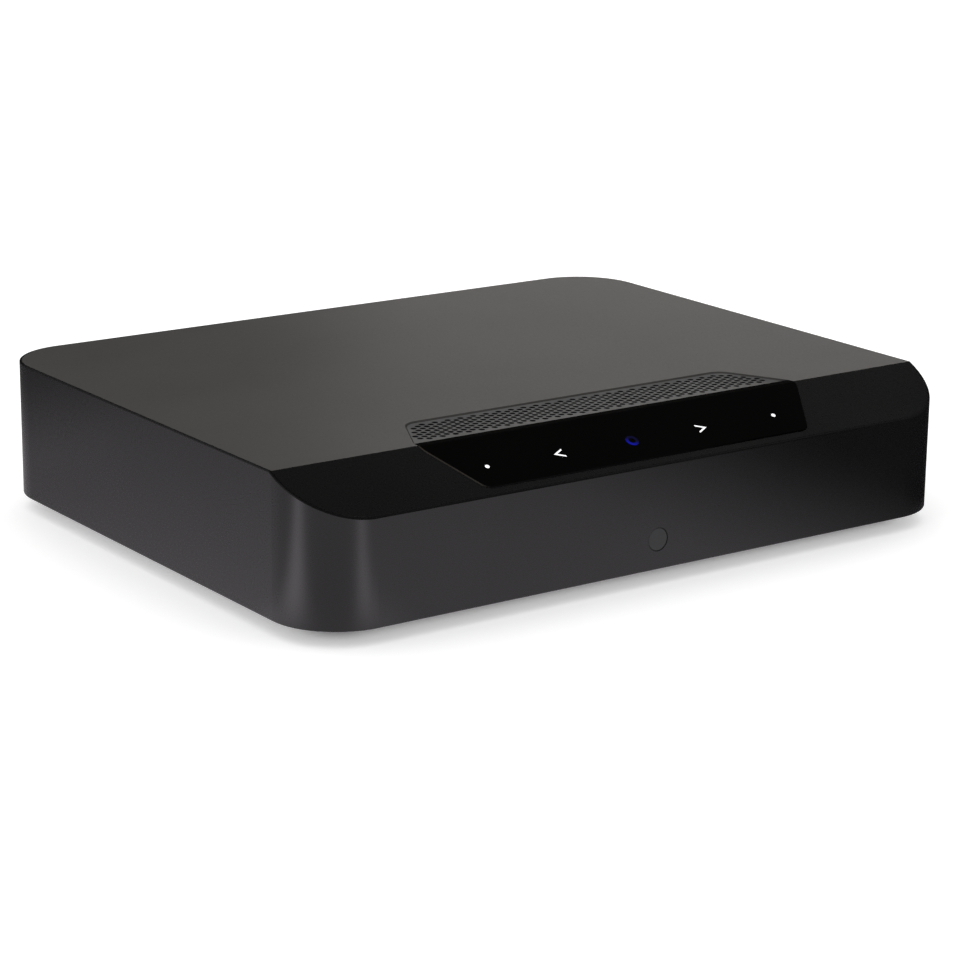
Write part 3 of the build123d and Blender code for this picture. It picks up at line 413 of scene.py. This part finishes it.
def gold_plate():
    """Gold plating with fine turning rings along Y."""
    material, tree, shader = start_material("gold_plate")
    where = object_coordinates(tree)
    rings = bands(tree, where, "Y", width=0.0003, distortion=0.6)
    wide = noise(tree, where, size=0.003)
    colour = mottled(tree, wide, dark=(0.74, 0.48, 0.17), light=(0.86, 0.60, 0.25))
    tree.links.new(colour, shader.inputs["Base Color"])
    tree.links.new(spread(tree, wide, low=0.14, high=0.26), shader.inputs["Roughness"])
    relief(tree, shader, rings, depth=0.000004)
    shader.inputs["Metallic"].default_value = 1.0
    return material


def tinned_copper():
    return surface("tinned_copper",
                   dark=(0.60, 0.32, 0.18), light=(0.74, 0.44, 0.28),
                   rough=(0.25, 0.42), mottle=0.003, grain=0.0004, depth=0.00001, metallic=1.0)


def knob_plastic(name, dark, light):
    material = surface(name, dark, light, rough=(0.16, 0.26), mottle=0.006, grain=0.0008, depth=0.000004)
    material.node_tree.nodes["Principled BSDF"].inputs["Coat Weight"].default_value = 0.3
    return material


def circuit_board():
    """Green solder mask, paler over raised tracks."""
    material, tree, shader = start_material("green_circuit_board")
    where = object_coordinates(tree)
    cells = tree.nodes.new("ShaderNodeTexVoronoi")
    cells.feature = "DISTANCE_TO_EDGE"
    cells.inputs["Scale"].default_value = track_cells
    tree.links.new(where, cells.inputs["Vector"])
    tracks = spread(tree, cells.outputs["Distance"], 1.0, 0.0, *track_half_shares)
    wide = noise(tree, where, size=0.012, detail=2.0)
    colour = ramp(tree, tracks, [(0.0, (0.006, 0.028, 0.012)), (1.0, (0.012, 0.058, 0.026))])
    tree.links.new(colour, shader.inputs["Base Color"])
    tree.links.new(spread(tree, wide, low=0.22, high=0.36), shader.inputs["Roughness"])
    relief(tree, shader, tracks, depth=0.00003)
    return material


def chip_epoxy():
    return surface("chip_epoxy",
                   dark=(0.012, 0.012, 0.013), light=(0.022, 0.022, 0.024),
                   rough=(0.48, 0.66), mottle=0.003, grain=0.0002, depth=0.00001)


def tinned_steel():
    return surface("tinned_steel",
                   dark=(0.48, 0.48, 0.47), light=(0.60, 0.60, 0.59),
                   rough=(0.22, 0.40), mottle=0.006, grain=0.0004, depth=0.000006,
                   metallic=1.0, stretch=(1, 6, 6))


def extruded_aluminium():
    return surface("extruded_aluminium",
                   dark=(0.55, 0.56, 0.57), light=(0.66, 0.67, 0.68),
                   rough=(0.26, 0.42), mottle=0.006, grain=0.0003, depth=0.00001,
                   metallic=1.0, stretch=(8, 1, 8))


def ferrite():
    return surface("sintered_ferrite",
                   dark=(0.020, 0.020, 0.020), light=(0.042, 0.041, 0.040),
                   rough=(0.55, 0.8), mottle=0.002, grain=0.0003, depth=0.00003)


def winding_tape():
    return surface("yellow_tape",
                   dark=(0.62, 0.42, 0.03), light=(0.74, 0.54, 0.06),
                   rough=(0.18, 0.34), mottle=0.004, grain=0.0012, depth=0.00004, stretch=(1, 4, 1))


def can_sleeve():
    return surface("shrink_sleeve",
                   dark=(0.010, 0.014, 0.045), light=(0.018, 0.024, 0.070),
                   rough=(0.20, 0.34), mottle=0.004, grain=0.0015, depth=0.00002)


def fuse_glass():
    material = surface("fuse_glass",
                       dark=(0.70, 0.76, 0.77), light=(0.80, 0.86, 0.87),
                       rough=(0.03, 0.08), mottle=0.003, grain=0.002, depth=0.000003)
    material.node_tree.nodes["Principled BSDF"].inputs["Transmission Weight"].default_value = 0.7
    return material


def milky_sheet():
    return surface("milky_sheet",
                   dark=(0.50, 0.50, 0.45), light=(0.60, 0.60, 0.55),
                   rough=(0.30, 0.45), mottle=0.01, grain=0.001, depth=0.00001)


def wire_rubber():
    return surface("wire_sheath",
                   dark=(0.010, 0.010, 0.010), light=(0.020, 0.020, 0.020),
                   rough=(0.38, 0.55), mottle=0.004, grain=0.0005, depth=0.00001)


def flat_ribbon():
    """White flat cable with a stripe for each conductor."""
    material, tree, shader = start_material("flat_ribbon")
    where = object_coordinates(tree)
    stripes = bands(tree, where, "X", width=0.001)
    colour = ramp(tree, stripes, [(0.35, (0.74, 0.74, 0.73)), (0.65, (0.55, 0.55, 0.56))])
    tree.links.new(colour, shader.inputs["Base Color"])
    fine = noise(tree, where, size=0.002, detail=2.0)
    tree.links.new(spread(tree, fine, low=0.3, high=0.45), shader.inputs["Roughness"])
    relief(tree, shader, stripes, depth=0.00004)
    return material


def natural_nylon():
    return surface("natural_nylon",
                   dark=(0.64, 0.61, 0.54), light=(0.74, 0.71, 0.64),
                   rough=(0.38, 0.52), mottle=0.003, grain=0.0004, depth=0.00001)


slot_materials = {
    "shell": housing_plastic(),
    "top": top_paint(),
    "bezel": bezel_plastic(),
    "cover": cover_glass(),
    "icon": lit_print(),
    "status_light": status_light(),
    "mesh": grille_paint(),
    "black_plastic": plain_plastic(),
    "panel": powder_coat(),
    "ir": infrared_lens(),
    "rubber": soft_rubber(),
    "screw": black_oxide(),
    "nickel": nickel_plate(),
    "gold": gold_plate(),
    "copper": tinned_copper(),
    "knob_red": knob_plastic("red_knob", (0.40, 0.008, 0.008), (0.50, 0.014, 0.012)),
    "knob_black": knob_plastic("black_knob", (0.008, 0.008, 0.008), (0.014, 0.014, 0.014)),
    "circuit_board": circuit_board(),
    "chip": chip_epoxy(),
    "shield": tinned_steel(),
    "aluminium": extruded_aluminium(),
    "ferrite": ferrite(),
    "tape": winding_tape(),
    "sleeve": can_sleeve(),
    "fuse": fuse_glass(),
    "clear_sheet": milky_sheet(),
    "wire": wire_rubber(),
    "ribbon": flat_ribbon(),
    "plug": natural_nylon(),
}

for part in frame["record"]["subparts"]:
    for material_slot in nodes[part["node"]].material_slots:
        material_slot.material = slot_materials[part["material_slot"]]


# Pieces that only the render needs
def add_mesh(name, mesh, body, slot_name):
    """A new piece that rides on a body and has the material of a slot."""
    piece = bpy.data.objects.new(name, mesh)
    bpy.context.scene.collection.objects.link(piece)
    piece.data.materials.append(slot_materials[slot_name])
    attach(piece, body)
    return piece


def turned_along_y(profile, sides):
    """A closed ring turned about Y from a profile of radius and Y."""
    mesh = bpy.data.meshes.new("turned")
    shape = bmesh.new()
    rings = []
    for step in range(sides):
        angle = 2 * math.pi * step / sides
        spots = [(radius * math.cos(angle), y, radius * math.sin(angle)) for radius, y in profile]
        rings.append([shape.verts.new(spot) for spot in spots])
    for ring, following in zip(rings, rings[1:] + rings[:1]):
        for index in range(len(profile)):
            after = (index + 1) % len(profile)
            shape.faces.new((ring[index], ring[after], following[after], following[index]))
    bmesh.ops.recalc_face_normals(shape, faces=shape.faces)
    for face in shape.faces:
        face.smooth = True
    shape.to_mesh(mesh)
    shape.free()
    return mesh


def knob_bush(number):
    """A gold ring set in the mouth of a knob, around the end of its stud."""
    low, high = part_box(f"post_knob_{number}")
    back = high.y - bush_back
    front = high.y - bush_front
    profile = [
        (bush_inner, back),
        (bush_outer, back),
        (bush_outer, front - bush_edge),
        (bush_outer - bush_edge, front),
        (bush_inner + bush_edge, front),
        (bush_inner, front - bush_edge),
    ]
    ring = turned_along_y(profile, bush_sides)
    piece = add_mesh(f"knob_bush_{number}", ring, f"knob_{number}", "gold")
    piece.location = ((low.x + high.x) / 2, 0, (low.z + high.z) / 2)


def plate_facing_back(name, outline, y, depth, slot_name):
    """A thin plate with its face towards +Y, bevelled around that face."""
    mesh = bpy.data.meshes.new(name)
    shape = bmesh.new()
    face = shape.faces.new([shape.verts.new((x, y, z)) for x, z in outline])
    grown = bmesh.ops.extrude_face_region(shape, geom=[face])
    moved = [item for item in grown["geom"] if isinstance(item, bmesh.types.BMVert)]
    bmesh.ops.translate(shape, verts=moved, vec=(0, depth, 0))
    bmesh.ops.recalc_face_normals(shape, faces=shape.faces)
    edges = [edge for edge in shape.edges if all(vert.co.y > y + depth / 2 for vert in edge.verts)]
    bmesh.ops.bevel(shape, geom=edges, offset=depth / 3, segments=2, affect="EDGES")
    shape.to_mesh(mesh)
    shape.free()
    add_mesh(name, mesh, "root", slot_name)


def cross_outline(x, z, upright):
    """Outline of a plus, or of a minus where there is no upright."""
    arm, half = mark_arm, mark_half
    if upright:
        corners = [(half, arm), (half, half), (arm, half), (arm, -half), (half, -half), (half, -arm)]
        corners += [(-across, -along) for across, along in corners]
    else:
        corners = [(-arm, -half), (arm, -half), (arm, half), (-arm, half)]
    return [(x + across, z + along) for across, along in corners]


def polarity_mark(number):
    """A plus outside each red knob and a minus outside each black one."""
    low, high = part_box(f"post_knob_{number}")
    positive = number % 2 == 1
    x = high.x + mark_away if positive else low.x - mark_away
    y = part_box("terminal_block")[1].y
    z = (low.z + high.z) / 2
    outline = cross_outline(x, z, positive)
    plate_facing_back(f"polarity_mark_{number}", outline, y, mark_height, "ribbon")


def rounded_outline(x, z, wide, tall, radius, steps):
    """Outline of a rectangle with rounded corners."""
    outline = []
    for turn, (side_x, side_z) in enumerate(((1, 1), (-1, 1), (-1, -1), (1, -1))):
        centre_x = x + side_x * (wide / 2 - radius)
        centre_z = z + side_z * (tall / 2 - radius)
        for step in range(steps + 1):
            angle = math.pi / 2 * (turn + step / steps)
            outline.append((centre_x + radius * math.cos(angle), centre_z + radius * math.sin(angle)))
    return outline


def jack_windows():
    """Two small light windows in the upper corners of the network jack."""
    low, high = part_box("ethernet_jack")
    z = high.z - window_edge - window_tall / 2
    inset = window_edge + window_wide / 2
    for name, x in (("left", low.x + inset), ("right", high.x - inset)):
        outline = rounded_outline(x, z, window_wide, window_tall, window_round, window_steps)
        plate_facing_back(f"jack_window_{name}", outline, high.y, window_depth, "fuse")


for number in post_numbers:
    knob_bush(number)
    polarity_mark(number)
jack_windows()


# Floor, light and camera
def strip(tree, along, middle, half):
    """One along a line and fading to nothing on both sides of it."""
    away = combined(tree, "ABSOLUTE", combined(tree, "SUBTRACT", along, middle))
    return spread(tree, away, 1.0, 0.0, 0.0, half, "SMOOTHSTEP")


def mirrored_floor(tree, where):
    """What glossy faces see of the floor: pale, with two bright strips, and dark at the right."""
    place = axes(tree, where)
    x, y = place["X"], place["Y"]
    left = combined(tree, "MULTIPLY", strip(tree, y, left_strip_y, left_strip_half),
                    spread(tree, x, left_strip_mirrored, 0.0, *left_strip_change))
    front = combined(tree, "MULTIPLY", strip(tree, x, front_strip_x, front_strip_half),
                     spread(tree, y, front_strip_mirrored, 0.0, *front_strip_change))
    across = combined(tree, "MULTIPLY", spread(tree, x, 1.0, right_share, *right_change),
                      spread(tree, x, left_mirrored, floor_mirrored, *left_change))
    along = combined(tree, "MULTIPLY", spread(tree, y, *front_and_rear_share, *front_to_rear),
                     spread(tree, y, 1.0, back_share, *back_change))
    level = combined(tree, "MULTIPLY", across, along)
    return combined(tree, "ADD", combined(tree, "ADD", left, front), level)


def body_distance(tree, where):
    """How far a place on the floor lies outside the outline of the body, or inside where negative."""
    low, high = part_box("housing_shell")
    middle = (low + high) / 2
    half = (high - low) / 2
    place = axes(tree, where)
    past = []
    for axis, centre, reach in (("X", middle.x, half.x), ("Y", middle.y, half.y)):
        away = combined(tree, "ABSOLUTE", combined(tree, "SUBTRACT", place[axis], centre))
        past.append(combined(tree, "SUBTRACT", away, reach - corner_radius))
    squares = [combined(tree, "POWER", combined(tree, "MAXIMUM", value, 0.0), 2.0) for value in past]
    outside = combined(tree, "SQRT", combined(tree, "ADD", *squares))
    inside = combined(tree, "MINIMUM", combined(tree, "MAXIMUM", *past), 0.0)
    return combined(tree, "SUBTRACT", combined(tree, "ADD", outside, inside), corner_radius)


def floor_paper():
    """White paper that gives some light of its own, with another brightness in glossy faces."""
    material, tree, shader = start_material("pale_floor")
    where = object_coordinates(tree)
    wide = noise(tree, where, floor_mottle, detail=2.0)
    colour = mottled(tree, wide, dark=(floor_dark,) * 3, light=(floor_light,) * 3)
    tree.links.new(colour, shader.inputs["Base Color"])
    shader.inputs["Roughness"].default_value = floor_rough
    shader.inputs["Specular IOR Level"].default_value = 0.0
    shader.inputs["Emission Color"].default_value = (1, 1, 1, 1)
    distance = body_distance(tree, where)
    under = combined(tree, "MULTIPLY", strip(tree, distance, under_place, under_half), under_lift)
    even = spread(tree, distance, 0.0, floor_lift, lift_gone, lift_full)
    tree.links.new(combined(tree, "ADD", under, even), shader.inputs["Emission Strength"])
    glow = tree.nodes.new("ShaderNodeEmission")
    glow.inputs["Color"].default_value = mirrored_tint
    tree.links.new(mirrored_floor(tree, where), glow.inputs["Strength"])
    path = tree.nodes.new("ShaderNodeLightPath")
    mix = tree.nodes.new("ShaderNodeMixShader")
    tree.links.new(path.outputs["Is Glossy Ray"], mix.inputs["Fac"])
    tree.links.new(shader.outputs["BSDF"], mix.inputs[1])
    tree.links.new(glow.outputs["Emission"], mix.inputs[2])
    tree.links.new(mix.outputs["Shader"], tree.nodes["Material Output"].inputs["Surface"])
    return material


def floor():
    mesh = bpy.data.meshes.new("floor")
    half = floor_size / 2
    corners = [(-half, -half, 0), (half, -half, 0), (half, half, 0), (-half, half, 0)]
    mesh.from_pydata(corners, [], [(0, 1, 2, 3)])
    piece = bpy.data.objects.new("floor", mesh)
    bpy.context.scene.collection.objects.link(piece)
    piece.data.materials.append(floor_paper())


def sky():
    """An even pale sky that the camera sees as white and glossy faces see as dark."""
    world = bpy.data.worlds.new("studio")
    bpy.context.scene.world = world
    world.use_nodes = True
    tree = world.node_tree
    path = tree.nodes.new("ShaderNodeLightPath")
    change = combined(tree, "MULTIPLY", path.outputs["Is Glossy Ray"], sky_mirrored - sky_strength)
    background = tree.nodes["Background"]
    tree.links.new(combined(tree, "ADD", change, sky_strength), background.inputs["Strength"])
    background.inputs["Color"].default_value = (1, 1, 1, 1)


def soft_box(name, place, target, wide, tall, power, colour=(1.0, 1.0, 1.0)):
    """A rectangular lamp that points at a target."""
    lamp = bpy.data.lights.new(name, "AREA")
    lamp.shape = "RECTANGLE"
    lamp.size = wide
    lamp.size_y = tall
    lamp.energy = power
    lamp.color = colour
    piece = bpy.data.objects.new(name, lamp)
    bpy.context.scene.collection.objects.link(piece)
    piece.location = place
    piece.rotation_euler = (Vector(target) - Vector(place)).to_track_quat("-Z", "Y").to_euler()


def camera():
    """The camera, turned about the body, shifted sideways and up, and rolled a little."""
    azimuth = math.radians(camera_azimuth)
    elevation = math.radians(camera_elevation)
    roll = math.radians(camera_roll)
    back = Vector((
        math.sin(azimuth) * math.cos(elevation),
        -math.cos(azimuth) * math.cos(elevation),
        math.sin(elevation),
    ))
    right = (-back).cross(Vector((0, 0, 1))).normalized()
    up = right.cross(-back)
    side = right * math.cos(roll) + up * math.sin(roll)
    top = up * math.cos(roll) - right * math.sin(roll)
    place = body_centre + back * camera_distance + right * camera_right + up * camera_up
    lens = bpy.data.cameras.new("camera")
    lens.lens = camera_lens
    lens.sensor_width = camera_sensor
    lens.clip_end = camera_reach
    piece = bpy.data.objects.new("camera", lens)
    bpy.context.scene.collection.objects.link(piece)
    piece.matrix_world = Matrix((
        (side.x, top.x, back.x, place.x),
        (side.y, top.y, back.y, place.y),
        (side.z, top.z, back.z, place.z),
        (0, 0, 0, 1),
    ))
    bpy.context.scene.camera = piece


floor()
sky()
soft_box("rear_card", place=(1.30, 1.16, 0.12), target=(0, 0, 0.03), wide=1.05, tall=0.30, power=3.3,
         colour=(1.0, 0.96, 0.92))
soft_box("rear_top", place=(-0.7, 1.3, 1.3), target=(0, 0, 0), wide=1.2, tall=1.2, power=2.0)
soft_box("left_top", place=(-1.2, -0.2, 1.2), target=(0, 0, 0), wide=1.0, tall=1.0, power=1.5)
soft_box("right_top", place=(0.71, 0.145, 0.80), target=(0.1, -0.09, 0.04), wide=0.4, tall=0.4, power=0.035)
camera()
bpy.context.scene.view_settings.view_transform = "Standard"
